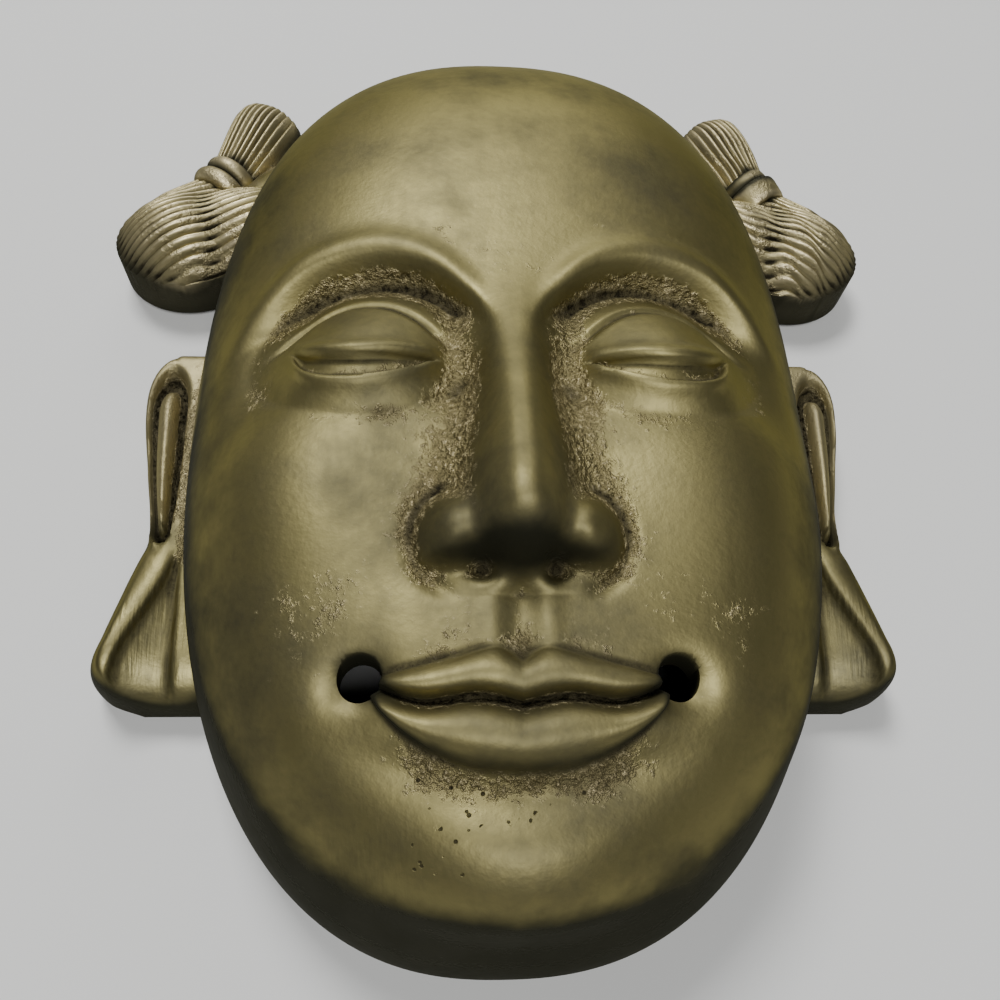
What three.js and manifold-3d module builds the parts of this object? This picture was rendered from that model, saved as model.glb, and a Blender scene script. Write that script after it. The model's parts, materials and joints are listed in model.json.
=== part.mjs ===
// A brass wall mask: a round-faced bald monk's head with long ear lobes and two tied side
// knots of hair, cast in one piece as a hollow shell that is open and flat at the back.
// It lies on that flat back with the face up. Millimetres, +Z out of the face, +Y to the crown.
import * as THREE from "three";
import { mergeVertices } from "three/addons/utils/BufferGeometryUtils.js";
import Module from "manifold-3d";

// Driving dimensions of the head.
const HALF_WIDTH = 47.5; // of the head at its flat back rim, without the ears
const HALF_LENGTH = 75; // from the middle of the rim to the crown or to the chin
const DOME_DEPTH = 42; // of the plain dome under the features
const OUTLINE_POWER = 2.4; // 2 would be an ellipse, more is squarer
const PROFILE_POWER = 2.8; // the same for the dome's section
const WALL = 3; // thickness of the casting
const HOLE_RADIUS = 2.6; // the two holes drilled through at the corners of the mouth

// The face is laid out by the common canon of drawing: the eyes halfway up the head, the
// brow, the nose's base and the chin one face-third apart, and the head five eyes wide.
const THIRD = (2 * HALF_LENGTH) / 3.5;
const EYE_WIDTH = (2 * HALF_WIDTH) / 5;
const EYE_X = EYE_WIDTH; // the middle of an eye, from the middle of the face
const BROW_Y = -HALF_LENGTH + 2 * THIRD;
const NOSE_BASE_Y = -HALF_LENGTH + THIRD;
const MOUTH_Y = NOSE_BASE_Y - THIRD / 3;
const MOUTH_HALF = 0.92 * EYE_WIDTH;
const HOLE_X = MOUTH_HALF + 0.8;
const HOLE_Y = MOUTH_Y + 2.2;

// Density of the mesh: 1 for the solid as kept, and less for a finer one.
const COARSE = 1;
const FINEST = 1.4 * COARSE; // the narrowest feature that such a mesh can show

// Small functions that the carving is made of.
const clamp01 = (v) => Math.min(1, Math.max(0, v));

function ramp(from, to, v) {
  const t = clamp01((v - from) / (to - from));
  return t * t * (3 - 2 * t);
}

const bell = (v, width) => Math.exp(-((v / width) ** 2));

const mound = (x, y, cx, cy, rx, ry) => bell(x - cx, rx) * bell(y - cy, ry);

// The larger of two heights, with the corner between them rounded off.
function blend(a, b, width) {
  const t = clamp01(0.5 + (a - b) / (2 * width));
  return b + (a - b) * t + width * t * (1 - t);
}

// A smooth curve y(x) through a few points that are sorted by x.
function curve(points) {
  const slope = points.map((p, i) => {
    const a = points[Math.max(i - 1, 0)];
    const b = points[Math.min(i + 1, points.length - 1)];
    return (b[1] - a[1]) / (b[0] - a[0]);
  });
  return (x) => {
    let i = 0;
    while (i < points.length - 2 && x > points[i + 1][0]) i++;
    const [x0, y0] = points[i];
    const [x1, y1] = points[i + 1];
    const w = x1 - x0;
    const t = clamp01((x - x0) / w);
    const s = 1 - t;
    return (
      y0 * s * s * (1 + 2 * t) +
      y1 * t * t * (1 + 2 * s) +
      w * (slope[i] * t * s * s - slope[i + 1] * s * t * t)
    );
  };
}

// Brow and eye socket: a sharp-edged hollow under an arched brow that runs into the nose.
const browLine = curve([
  [-6, BROW_Y - 3],
  [0, BROW_Y - 9],
  [6, BROW_Y - 3],
  [13, BROW_Y + 2.2],
  [21, BROW_Y + 3.6],
  [30, BROW_Y + 0.8],
  [40, BROW_Y - 8],
]);

function socket(x, y) {
  const below = browLine(x) - y;
  const reach = ramp(2, 9, x) * (1 - ramp(27, 40, x));
  const hollow = -4.2 * ramp(-0.4, 3.4, below) * (1 - ramp(9, 25, below));
  return reach * (hollow + 0.9 * bell(below + 1.6, 2.2));
}

// Eye: a ball under heavy lowered lids, with a narrow opening and a crease over it.
const eyeIn = EYE_X - EYE_WIDTH / 2;
const eyeOut = EYE_X + EYE_WIDTH / 2 + 1;
const upperLid = curve([
  [eyeIn, -3.2],
  [EYE_X - 4, -4.2],
  [EYE_X + 1, -4.6],
  [EYE_X + 6.5, -3.2],
  [eyeOut, 0],
]);
const lowerLid = curve([
  [eyeIn, -3.2],
  [EYE_X - 4, -6.5],
  [EYE_X + 1, -7.4],
  [EYE_X + 6.5, -5.6],
  [eyeOut, 0],
]);
const lidCrease = curve([
  [eyeIn - 1.5, -0.6],
  [EYE_X - 4, 5],
  [EYE_X + 2, 6.4],
  [EYE_X + 7, 4.9],
  [eyeOut + 3, 0.4],
]);

function eye(x, y) {
  const across = (x - EYE_X - 0.5) / 16;
  const up = (y + 0.4) / 11.5;
  const ball = 5.6 * Math.max(0, 1 - across * across - up * up) ** 1.3;
  const within = ramp(eyeIn - 0.8, eyeIn + 1.6, x) * (1 - ramp(eyeOut - 3.4, eyeOut, x));
  const over = y - upperLid(x);
  const under = lowerLid(x) - y;
  const edge = 0.5 * FINEST;
  const opening = -1.3 * ramp(-edge, edge, -over) * ramp(-edge, edge, -under);
  const rolls = 0.55 * bell(over - 1.1, 0.8 + edge) + 0.6 * bell(under - 1, 0.7 + edge);
  const creased = ramp(eyeIn - 3, eyeIn + 2, x) * (1 - ramp(eyeOut - 1, eyeOut + 5, x));
  return ball + within * (opening + rolls) - creased * 0.9 * bell(y - lidCrease(x), 0.4 + edge);
}

// Nose: a ridge that rises from the brow to a rounded tip, with wings and nostrils.
const noseHeight = curve([
  [NOSE_BASE_Y - 3, 0],
  [NOSE_BASE_Y - 0.6, 3.2],
  [NOSE_BASE_Y + 2, 10],
  [NOSE_BASE_Y + 5.5, 13],
  [NOSE_BASE_Y + 12, 11.2],
  [-10, 7],
  [0, 3.4],
  [BROW_Y, 0.6],
  [BROW_Y + 9, 0],
]);
const noseHalf = curve([
  [NOSE_BASE_Y, 6.4],
  [NOSE_BASE_Y + 8, 6.2],
  [-12, 5.4],
  [0, 4.8],
  [BROW_Y, 6],
]);
const WING_X = 0.4 * EYE_WIDTH;
const WING_Y = NOSE_BASE_Y + 4;

function nose(x, y) {
  const ridge = noseHeight(y) * Math.exp(-((x / noseHalf(y)) ** 2.4));
  const wx = (x - WING_X) / 3.9;
  const wy = (y - WING_Y) / 4.6;
  const reach = wx * wx + wy * wy;
  const wing = 6 * Math.exp(-(reach ** 1.15)) * ramp(NOSE_BASE_Y - 1, NOSE_BASE_Y + 1.6, y);
  const groove = -0.7 * bell(Math.sqrt(reach) - 1.36, 0.24) * ramp(WING_X - 1, WING_X + 2.5, x);
  const nostril = -3.4 * mound(x, y, 4.1, NOSE_BASE_Y + 0.4, 1.9, 1.5);
  return blend(ridge, 0.35 * ridge + wing, 2.8) - 0.7 + groove + nostril;
}

// Mouth: closed full lips with a faint smile on a soft mound, under a philtrum.
const mouthLine = curve([
  [0, MOUTH_Y - 0.6],
  [5, MOUTH_Y + 0.2],
  [11, MOUTH_Y - 0.1],
  [MOUTH_HALF, MOUTH_Y + 2],
]);
const upperEdge = curve([
  [0, MOUTH_Y + 4.3],
  [3, MOUTH_Y + 5.5],
  [8, MOUTH_Y + 4.4],
  [MOUTH_HALF, MOUTH_Y + 2.4],
]);
const lowerEdge = curve([
  [0, MOUTH_Y - 7.2],
  [6, MOUTH_Y - 6.7],
  [12, MOUTH_Y - 3.8],
  [MOUTH_HALF, MOUTH_Y + 1.4],
]);

function mouth(x, y) {
  const end = 1 - ramp(MOUTH_HALF - 3, MOUTH_HALF + 0.6, x);
  const line = mouthLine(x);
  const up = (y - line) / Math.max(upperEdge(x) - line, 0.8);
  const down = (line - y) / Math.max(line - lowerEdge(x), 0.8);
  const roll = (s) => Math.max(0, 1 - (2 * clamp01(s) - 1) ** 2) ** 0.85;
  const lips = end * (2 * roll(up) + 3 * roll(down));
  const parting = -1.1 * end * bell(y - line, 0.8);
  const corner = -2.4 * mound(x, y, MOUTH_HALF + 0.6, MOUTH_Y + 2, 3, 2.6);
  const philtrum = -0.6 * bell(x, 1.9) + 0.3 * bell(x - 3.2, 1.5);
  const over = ramp(MOUTH_Y + 4, MOUTH_Y + 6.5, y) * (1 - ramp(NOSE_BASE_Y - 3, NOSE_BASE_Y, y));
  return 3 * mound(x, y, 0, MOUTH_Y + 1, 22, 13) + lips + parting + corner + philtrum * over;
}

// Forehead, cheeks, jaw and chin: broad full forms.
function fullness(x, y) {
  const chinY = MOUTH_Y - 17;
  const chin = 5.5 * mound(x, y, 0, chinY, 16, 9);
  const underLip = -2 * mound(x, y, 0, MOUTH_Y - 9.6 + 0.015 * x * x, 13, 2.8);
  const cheek = 3.4 * mound(x, y, 28, -20, 14, 15) + 2.4 * mound(x, y, 30, -44, 15, 17);
  return chin + underLip + cheek + 2 * mound(x, y, 0, 40, 34, 20);
}

// Height of the carving over the dome, as a function of the place in plan.
const relief = (x, y) => socket(x, y) + eye(x, y) + nose(x, y) + mouth(x, y) + fullness(x, y);

// The back of the casting follows the face loosely: everywhere it takes the lowest relief
// found within a finger's width, so that no wall is thinner than the one given.
const nearby = [[0, 0]];
for (const radius of [2.5, 5])
  for (let turn = 0; turn < 2 * Math.PI - 0.1; turn += Math.PI / 4)
    nearby.push([radius * Math.cos(turn), radius * Math.sin(turn)]);

const backRelief = (x, y) => Math.min(...nearby.map(([dx, dy]) => relief(Math.abs(x + dx), y + dy)));

// How far a grid line is moved along the face, so that the lines run along the brow.
function browBend(x, y) {
  const bend = (browLine(Math.min(Math.abs(x), 40)) - BROW_Y) * bell(y - BROW_Y, 13);
  return bend * (1 - ramp(30, 44, Math.abs(x)));
}

// A point of the dome: s and t run from -1 to 1 over a square that is laid on the head, so
// that the grid's lines run across and along the face. inset moves the whole dome inwards.
function domePoint(s, t, inset, height) {
  const u = s * Math.sqrt(1 - (t * t) / 2);
  const v = t * Math.sqrt(1 - (s * s) / 2);
  const angle = Math.atan2(v, u);
  const square = Math.abs(Math.cos(angle)) ** OUTLINE_POWER + Math.abs(Math.sin(angle)) ** OUTLINE_POWER;
  const reach = Math.sin((Math.min(1, Math.hypot(u, v)) * Math.PI) / 2) / square ** (1 / OUTLINE_POWER);
  const x = (HALF_WIDTH - inset) * reach * Math.cos(angle);
  const straightY = (HALF_LENGTH - inset) * reach * Math.sin(angle);
  const y = straightY + browBend(x, straightY);
  const across = Math.abs(x) / (HALF_WIDTH - inset);
  const along = Math.abs(y) / (HALF_LENGTH - inset);
  const out = (across ** OUTLINE_POWER + along ** OUTLINE_POWER) ** (1 / OUTLINE_POWER);
  const fall = 1 - out ** PROFILE_POWER;
  const atRim = fall < 1e-6;
  const z = atRim ? 0 : (DOME_DEPTH - inset) * fall ** (1 / PROFILE_POWER);
  const steep = out ** (PROFILE_POWER - OUTLINE_POWER);
  const normal = new THREE.Vector3(
    (steep * Math.sign(x) * across ** (OUTLINE_POWER - 1)) / HALF_WIDTH,
    (steep * Math.sign(y) * along ** (OUTLINE_POWER - 1)) / HALF_LENGTH,
    (z / DOME_DEPTH) ** (PROFILE_POWER - 1) / DOME_DEPTH,
  ).normalize();
  const lift = height(Math.abs(x), y) * (1 - ramp(0.88, 0.99, out));
  return new THREE.Vector3(x, y, z).addScaledVector(normal, lift);
}

// Grid lines between -1 and 1: pitch gives the spacing wanted at each place along the arc.
function gridLines(half, pitch) {
  const steps = 4000;
  const total = [0];
  for (let i = 0; i < steps; i++) {
    const t = -1 + (2 * (i + 0.5)) / steps;
    const place = half * Math.sin((t * Math.PI) / 2);
    total.push(total[i] + ((half * Math.PI) / steps) / pitch(place));
  }
  const count = Math.round(total[steps] / 2) * 2;
  const lines = [];
  for (let k = 0, i = 0; k <= count; k++) {
    const wanted = (k / count) * total[steps];
    while (i < steps - 1 && total[i + 1] < wanted) i++;
    const share = (wanted - total[i]) / (total[i + 1] - total[i]);
    lines.push(-1 + (2 * (i + Math.min(1, share))) / steps);
  }
  lines[0] = -1;
  lines[count] = 1;
  return lines;
}

// A closed solid: a grid of points as its top and one fan down to a point as its bottom.
function cappedGrid(rows, bottom) {
  const height = rows.length;
  const width = rows[0].length;
  const positions = rows.flat().flatMap((p) => [p.x, p.y, p.z]);
  const at = (i, j) => i * width + j;
  const triangles = [];
  for (let i = 0; i < height - 1; i++)
    for (let j = 0; j < width - 1; j++) {
      const [a, b, c, d] = [at(i, j), at(i, j + 1), at(i + 1, j + 1), at(i + 1, j)];
      const longWay = rows[i][j].distanceTo(rows[i + 1][j + 1]);
      const otherWay = rows[i][j + 1].distanceTo(rows[i + 1][j]);
      if (longWay < otherWay) triangles.push(a, b, c, a, c, d);
      else triangles.push(a, b, d, b, c, d);
    }
  const edge = [];
  for (let j = 0; j < width - 1; j++) edge.push(at(0, j));
  for (let i = 0; i < height - 1; i++) edge.push(at(i, width - 1));
  for (let j = width - 1; j > 0; j--) edge.push(at(height - 1, j));
  for (let i = height - 1; i > 0; i--) edge.push(at(i, 0));
  const centre = positions.length / 3;
  positions.push(bottom.x, bottom.y, bottom.z);
  edge.forEach((v, i) => triangles.push(edge[(i + 1) % edge.length], v, centre));
  return solidOf(positions, triangles);
}

const wasm = await Module();
wasm.setup();

function solidOf(positions, triangles) {
  const geometry = new THREE.BufferGeometry();
  geometry.setAttribute("position", new THREE.Float32BufferAttribute(positions, 3));
  geometry.setIndex(triangles);
  return solidOfGeometry(geometry);
}

function solidOfGeometry(geometry) {
  const bare = geometry.clone();
  bare.deleteAttribute("normal");
  bare.deleteAttribute("uv");
  const merged = mergeVertices(bare, 1e-4);
  return new wasm.Manifold(
    new wasm.Mesh({
      numProp: 3,
      vertProperties: new Float32Array(merged.attributes.position.array),
      triVerts: new Uint32Array(merged.index.array),
    }),
  );
}

// The head: a carved dome less a plainer dome inside it.
const acrossPitch = curve([
  [-48, 10],
  [-34, 4.4],
  [-26, 2.6],
  [0, 2.4],
  [26, 2.6],
  [34, 4.4],
  [48, 10],
]);
const alongPitch = curve([
  [-75, 10],
  [-65, 6],
  [-55, 2.6],
  [-50, 1.8],
  [-33, 1.8],
  [-26, 3.5],
  [-16, 4],
  [-8, 1.8],
  [-1, 1.4],
  [8, 1.9],
  [16, 2.4],
  [25, 10],
  [75, 12],
]);

function headShell() {
  const columns = gridLines(HALF_WIDTH, (x) => COARSE * acrossPitch(x));
  const rows = gridLines(HALF_LENGTH, (y) => COARSE * alongPitch(y));
  const face = rows.map((t) => columns.map((s) => domePoint(s, t, 0, relief)));
  const outside = cappedGrid(face, new THREE.Vector3(0, 0, 0));
  const insideColumns = gridLines(HALF_WIDTH, () => 9.5);
  const insideRows = gridLines(HALF_LENGTH, () => 10.5);
  const back = insideRows.map((t) =>
    insideColumns.map((s) => domePoint(s, t, WALL, backRelief)),
  );
  const inside = skirtedGrid(back, -2);
  return { outside, inside };
}

// Ear: a relief with a flat back. The upper part has a rolled rim round a tongue, and the
// long lobe below flares outwards: a rounded band, with a flat facet between it and the head.
const EAR_TOP = 18.5;
const EAR_FOOT = -39.5;
const EAR_INNER = 40; // inside the shell's wall, so that ear and shell join
const EAR_BACK = 1.5; // the ear stays off the surface that the mask lies on
const EAR_HEIGHT = 11.5;
const earOuter = curve([
  [EAR_FOOT, 52],
  [-37.8, 56.8],
  [-35, 59.2],
  [-30, 58.2],
  [-22.5, 56.2],
  [-14, 53.9],
  [-3, 55.4],
  [7, 57],
  [13, 56.6],
  [16.8, 53.6],
  [EAR_TOP, 49],
]);
const tongueX = curve([
  [-14, 50.2],
  [-4, 51.2],
  [9, 51.9],
]);
const tongueReachIn = curve([
  [-14, 1.8],
  [-4, 3.4],
  [8, 4],
]);
const tongueReachOut = curve([
  [-14, 2.2],
  [-8, 3.6],
  [0, 4.4],
  [9, 4.9],
]);
const TONGUE_FOOT = -13.5;
const TONGUE_TOP = 7;
const lobeRidgeX = curve([
  [-36, 55.5],
  [-32, 54.2],
  [-25.5, 51],
  [-20, 48.6],
  [-13, 47.6],
]);

// Upper ear: from its spine outwards come the tongue, a groove and the rolled rim.
function earShell(x, y) {
  const along = Math.min(TONGUE_TOP, Math.max(TONGUE_FOOT, y));
  const aside = x - tongueX(along);
  const reach = aside > 0 ? tongueReachOut(along) : tongueReachIn(along);
  const away = Math.hypot(aside / reach, (y - along) / (y > 0 ? 9 : 4));
  const tongue = 1.3 * bell(away, 0.27);
  const groove = -2.7 * bell(away - 0.52, 0.15);
  const innerRoll = ramp(0.66, 0.86, away) * ramp(1, -1, aside);
  return tongue + groove + 1.2 * Math.max(bell(away - 0.86, 0.17), innerRoll);
}

// Lobe: a broad round band, with a lower filed facet between its ridge and the head.
function earLobe(x, y) {
  const aside = x - lobeRidgeX(y);
  const inside = Math.max(-aside, 0);
  const facet = -(1.1 * ramp(0, 1, inside) + 0.16 * inside) * ramp(-16, -21, y);
  const land = 1.2 * (1 - ramp(46.6, 47.8, x));
  return 1.5 * bell(aside - 1.5, 3.8) + facet + land;
}

function earSurface(x, y) {
  const upper = ramp(-19, -15.5, y);
  const carving = upper * earShell(x, y) + (1 - upper) * earLobe(x, y);
  const side = clamp01((earOuter(y) - x) / 3.4);
  const top = clamp01((EAR_TOP - y) / 3.2);
  const foot = clamp01((y - EAR_FOOT) / 8);
  const round = (t) => Math.sqrt(1 - (1 - t) ** 2);
  const height = EAR_HEIGHT - EAR_BACK + carving;
  return EAR_BACK + height * round(side) * round(top) * (0.35 + 0.65 * round(foot));
}

function earSolid() {
  const lengthwise = Math.round(22 / COARSE);
  const crosswise = Math.round(9 / COARSE);
  const rows = [];
  for (let i = 0; i <= lengthwise; i++) {
    const t = i / lengthwise;
    const eased = 0.55 * t + 0.45 * (0.5 - 0.5 * Math.cos(Math.PI * t));
    const y = EAR_FOOT + (EAR_TOP - EAR_FOOT) * eased;
    const row = [];
    for (let j = 0; j <= crosswise; j++) {
      const share = Math.sin(((j / crosswise) * Math.PI) / 2) ** 0.9;
      const x = EAR_INNER + (earOuter(y) - EAR_INNER) * share;
      row.push(new THREE.Vector3(x, y, earSurface(x, y)));
    }
    rows.push(row);
  }
  return skirtedGrid(rows, EAR_BACK - 0.01);
}

// A closed solid under a grid of points, with upright walls down to a flat back.
function skirtedGrid(rows, back) {
  const foot = (p) => new THREE.Vector3(p.x, p.y, back);
  const all = [rows[0].map(foot), ...rows, rows[rows.length - 1].map(foot)].map((row) => [
    foot(row[0]),
    ...row,
    foot(row[row.length - 1]),
  ]);
  const middle = all[Math.floor(all.length / 2)];
  const x = (middle[0].x + middle[middle.length - 1].x) / 2;
  return cappedGrid(all, new THREE.Vector3(x, middle[0].y, back));
}

// Side knot of hair: two turns of cord tie it in its middle. The lobe below the tie is a
// round cushion on a plain upright wall, the tuft above it fans out, and strands cross both.
const TIE = new THREE.Vector3(48.2, 54.6, 9.3);
const TUFT_WAY = new THREE.Vector3(-0.39, 0.92, 0).normalize();
const LOBE_WAY = new THREE.Vector3(0.62, -0.785, 0).normalize();
const LOBE_MIDDLE = { x: 54.3, y: 42.3 };
const LOBE_HALF = { x: 11, y: 9.3 };
const LOBE_WALL = 9.4;
const LOBE_TOP = 16.8;
const STRAND_WAY = new THREE.Vector3(0.9, -0.436, 0).normalize();
const STRAND_PITCH = 1.36;
const STRAND_CUT = 0.85;
const TUFT_LENGTH = 20;
const TUFT_ROOT = -4; // the tuft starts inside the tie, and so does the lobe's neck
const TUFT_WALL = 8;
const TUFT_STRANDS = 11;

// 1 over the lobe's middle and 0 on its outline: a cushion with a neck that opens from the
// tie and a shoulder that runs into the head.
function lobeFullness(x, y) {
  const offX = (x - LOBE_MIDDLE.x) / LOBE_HALF.x;
  const offY = (y - LOBE_MIDDLE.y) / LOBE_HALF.y;
  const cushion = 1 - Math.hypot(offX, offY) ** 2.1;
  const along = (x - TIE.x) * LOBE_WAY.x + (y - TIE.y) * LOBE_WAY.y;
  const aside = (y - TIE.y) * LOBE_WAY.x - (x - TIE.x) * LOBE_WAY.y;
  const opened = Math.min(12, Math.max(0, along));
  const rise = (0.36 + 0.035 * opened) * (1 - (aside / (4.3 + 0.3 * opened)) ** 2);
  const neck = rise * (1 - ramp(9, 15, along)) - 0.02 - 2 * ramp(-1, -4, along);
  const shoulder = 1.05 * (1 - ((x - 41) / 18) ** 2 - ((y - 44) / 10) ** 2);
  return blend(blend(cushion, neck, 0.2), shoulder, 0.2);
}

// Place in plan of a point on the lobe's strand lines, which fan out a little.
function strandPoint(along, line) {
  const across = line * (1 - 0.012 * along);
  const x = LOBE_MIDDLE.x + along * STRAND_WAY.x - across * STRAND_WAY.y;
  const y = LOBE_MIDDLE.y + along * STRAND_WAY.y + across * STRAND_WAY.x;
  return new THREE.Vector3(x, y, 0);
}

// The first and the last place along a strand line where the lobe has some height.
function strandSpan(line) {
  const inside = [];
  for (let along = -24; along <= 24; along += 0.05) {
    const p = strandPoint(along, line);
    if (lobeFullness(p.x, p.y) > 0) inside.push(along);
  }
  return inside.length > 2 ? [inside[0], inside[inside.length - 1]] : null;
}

// Strand lines run along crests and grooves in turn. The first and last are on the outline.
function lobeSolid() {
  const step = 0.01;
  let low = 0;
  while (strandSpan(low - step)) low -= step;
  let high = 0;
  while (strandSpan(high + step)) high += step;
  const lines = [low];
  const half = (STRAND_PITCH / 2) * COARSE;
  for (let k = Math.ceil(low / half + 0.2); k * half < high - 0.2 * half; k++) lines.push(k * half);
  lines.push(high);
  const stations = Math.round(8 / COARSE);
  const rows = lines.map((line, i) => {
    const [first, last] = strandSpan(line);
    const row = [];
    for (let j = 0; j <= stations; j++) {
      const share = 0.5 - 0.5 * Math.cos((Math.PI * j) / stations);
      const p = strandPoint(first + (last - first) * share, line);
      const onEdge = i === 0 || i === lines.length - 1 || j === 0 || j === stations;
      const full = onEdge ? 0 : Math.max(0, lobeFullness(p.x, p.y));
      p.z = LOBE_WALL + (LOBE_TOP - LOBE_WALL) * full ** 0.85 - strandGroove(line / STRAND_PITCH);
      row.push(p);
    }
    return row;
  });
  return skirtedGrid(rows, EAR_BACK);
}

// Depth of the cut beside a strand: none at a count's half, most at a whole count.
function strandGroove(count) {
  return STRAND_CUT * (1 - Math.abs(Math.sin(count * Math.PI)));
}

function tuftSolid() {
  const stations = Math.round(6 / COARSE);
  const lines = Math.round((2 * TUFT_STRANDS) / COARSE);
  const rows = [];
  for (let j = 0; j <= stations; j++) {
    const far = Math.sin(((j / stations) * Math.PI) / 2);
    const along = TUFT_ROOT + (TUFT_LENGTH - TUFT_ROOT) * far;
    const share = Math.max(0, along) / TUFT_LENGTH;
    const half = (4.2 + 3.5 * share) * Math.max(0.02, 1 - share ** 8) ** 0.45;
    const row = [];
    for (let i = 0; i <= lines; i++) {
      const across = (2 * i) / lines - 1;
      const full = (1 - Math.abs(across) ** 2.3) * Math.max(0, 1 - share ** 6);
      const cut = 0.9 * strandGroove((across * TUFT_STRANDS) / 2);
      const x = TIE.x + along * TUFT_WAY.x + across * half * TUFT_WAY.y;
      const y = TIE.y + along * TUFT_WAY.y - across * half * TUFT_WAY.x;
      row.push(new THREE.Vector3(x, y, TUFT_WALL + (4 + 4.6 * share) * full ** 0.6 - cut));
    }
    rows.push(row);
  }
  return skirtedGrid(rows, EAR_BACK);
}

// One turn of the cord round the tie, shifted along the knot.
function cordTurn(shift, radius, halfThick, halfWide) {
  const along = LOBE_WAY.clone().sub(TUFT_WAY).normalize();
  const at = TIE.clone().addScaledVector(along, shift);
  const facing = new THREE.Quaternion().setFromUnitVectors(new THREE.Vector3(0, 0, 1), along);
  const ring = new THREE.TorusGeometry(radius, halfThick, 6, 16);
  ring.scale(1, 1, halfWide / halfThick).applyQuaternion(facing).translate(at.x, at.y, at.z);
  return solidOfGeometry(ring);
}

// A low web that fills the space between the knot and the head.
function knotWeb() {
  const web = new THREE.SphereGeometry(1, 10, 6);
  web.scale(6.5, 15, 9).rotateZ(0.55).translate(40.5, 50, 5);
  return solidOfGeometry(web);
}

function hairKnot() {
  return lobeSolid()
    .add(tuftSolid())
    .add(cordTurn(1.5, 3.8, 1.6, 1.65))
    .add(cordTurn(-1.7, 3.7, 1.4, 1.5))
    .add(knotWeb());
}

// Everything is one casting: both ears and both knots grow out of the shell's side.
function casting() {
  const { outside, inside } = headShell();
  const block = (x, y, z, w, l, h) => solidOfGeometry(new THREE.BoxGeometry(w, l, h).translate(x, y, z));
  const below = block(0, 0, EAR_BACK - 21, 300, 300, 40);
  let whole = outside;
  for (const piece of [earSolid(), hairKnot().subtract(below)])
    whole = whole.add(piece).add(piece.mirror([1, 0, 0]));
  const drill = new THREE.CylinderGeometry(HOLE_RADIUS, HOLE_RADIUS, 60, 16).rotateX(Math.PI / 2);
  const hole = (side) => solidOfGeometry(drill.clone().translate(side * HOLE_X, HOLE_Y, 40));
  return whole.subtract(inside).subtract(hole(1)).subtract(hole(-1));
}

function meshOf(name, solid, material) {
  const { numVert, numProp, vertProperties, triVerts } = solid.getMesh();
  const positions = new Float32Array(numVert * 3);
  for (let i = 0; i < numVert; i++)
    positions.set(vertProperties.subarray(i * numProp, i * numProp + 3), i * 3);
  const geometry = new THREE.BufferGeometry();
  geometry.setAttribute("position", new THREE.BufferAttribute(positions, 3));
  geometry.setIndex(new THREE.BufferAttribute(triVerts, 1));
  geometry.computeVertexNormals();
  const mesh = new THREE.Mesh(geometry, material);
  mesh.name = name;
  return mesh;
}

const agedBrass = new THREE.MeshStandardMaterial({ color: 0x8f7c4a, roughness: 0.42, metalness: 1 });

const mask = new THREE.Group();
mask.add(meshOf("mask_casting", casting(), agedBrass));

export default mask;
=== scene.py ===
import json
import math

import bpy
import numpy as np
from mathutils import Matrix, Vector

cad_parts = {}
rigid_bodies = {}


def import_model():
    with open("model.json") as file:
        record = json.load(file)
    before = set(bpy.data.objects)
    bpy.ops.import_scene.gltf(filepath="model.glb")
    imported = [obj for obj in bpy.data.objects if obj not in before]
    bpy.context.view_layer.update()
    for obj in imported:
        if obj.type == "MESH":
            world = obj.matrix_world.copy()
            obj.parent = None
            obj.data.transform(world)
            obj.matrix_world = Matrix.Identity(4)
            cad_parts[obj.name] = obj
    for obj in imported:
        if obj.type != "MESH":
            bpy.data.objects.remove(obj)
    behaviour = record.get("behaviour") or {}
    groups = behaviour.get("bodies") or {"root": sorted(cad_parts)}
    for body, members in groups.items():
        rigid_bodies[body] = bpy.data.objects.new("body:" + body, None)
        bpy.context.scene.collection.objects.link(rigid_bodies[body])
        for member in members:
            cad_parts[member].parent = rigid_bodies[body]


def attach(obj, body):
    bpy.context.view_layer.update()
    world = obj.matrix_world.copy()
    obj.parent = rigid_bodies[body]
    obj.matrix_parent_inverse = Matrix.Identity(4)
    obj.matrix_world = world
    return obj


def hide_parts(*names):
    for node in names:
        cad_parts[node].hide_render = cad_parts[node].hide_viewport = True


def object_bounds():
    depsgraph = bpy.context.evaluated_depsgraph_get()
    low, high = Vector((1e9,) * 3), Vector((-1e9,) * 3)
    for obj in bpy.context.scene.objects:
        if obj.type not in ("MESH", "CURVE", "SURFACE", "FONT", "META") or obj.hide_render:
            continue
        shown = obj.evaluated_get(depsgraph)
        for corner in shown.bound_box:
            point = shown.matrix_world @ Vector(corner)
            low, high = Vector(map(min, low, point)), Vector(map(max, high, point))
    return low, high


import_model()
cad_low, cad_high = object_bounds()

# The camera is a phone held close over the table, on the chin's side of the mask and a
# little to the left, so that the crown looks smaller than the jaw.
MM = 0.001
LOOK_FROM = (math.radians(-8), math.radians(63.8))
LOOK_AT = Vector((0.7, -3, 0)) * MM
LOOK_DISTANCE = 166.4 * MM
LOOK_ROLL = math.radians(-1.2)

azimuth, elevation = LOOK_FROM
back = Vector(
    (
        math.sin(azimuth) * math.cos(elevation),
        -math.cos(azimuth) * math.cos(elevation),
        math.sin(elevation),
    )
)
level = (-back).cross(Vector((0, 1, 0))).normalized()
upright = level.cross(-back)
right = math.cos(LOOK_ROLL) * level + math.sin(LOOK_ROLL) * upright
upright = right.cross(-back)
bpy.ops.object.camera_add()
camera = bpy.context.object
camera.data.lens = 36
camera.data.sensor_width = 36
camera.data.clip_start = 0.01
camera.data.clip_end = 10
camera.matrix_world = Matrix.Translation(LOOK_AT + back * LOOK_DISTANCE) @ Matrix(
    (right, upright, back)
).transposed().to_4x4()
bpy.context.scene.camera = camera

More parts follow.
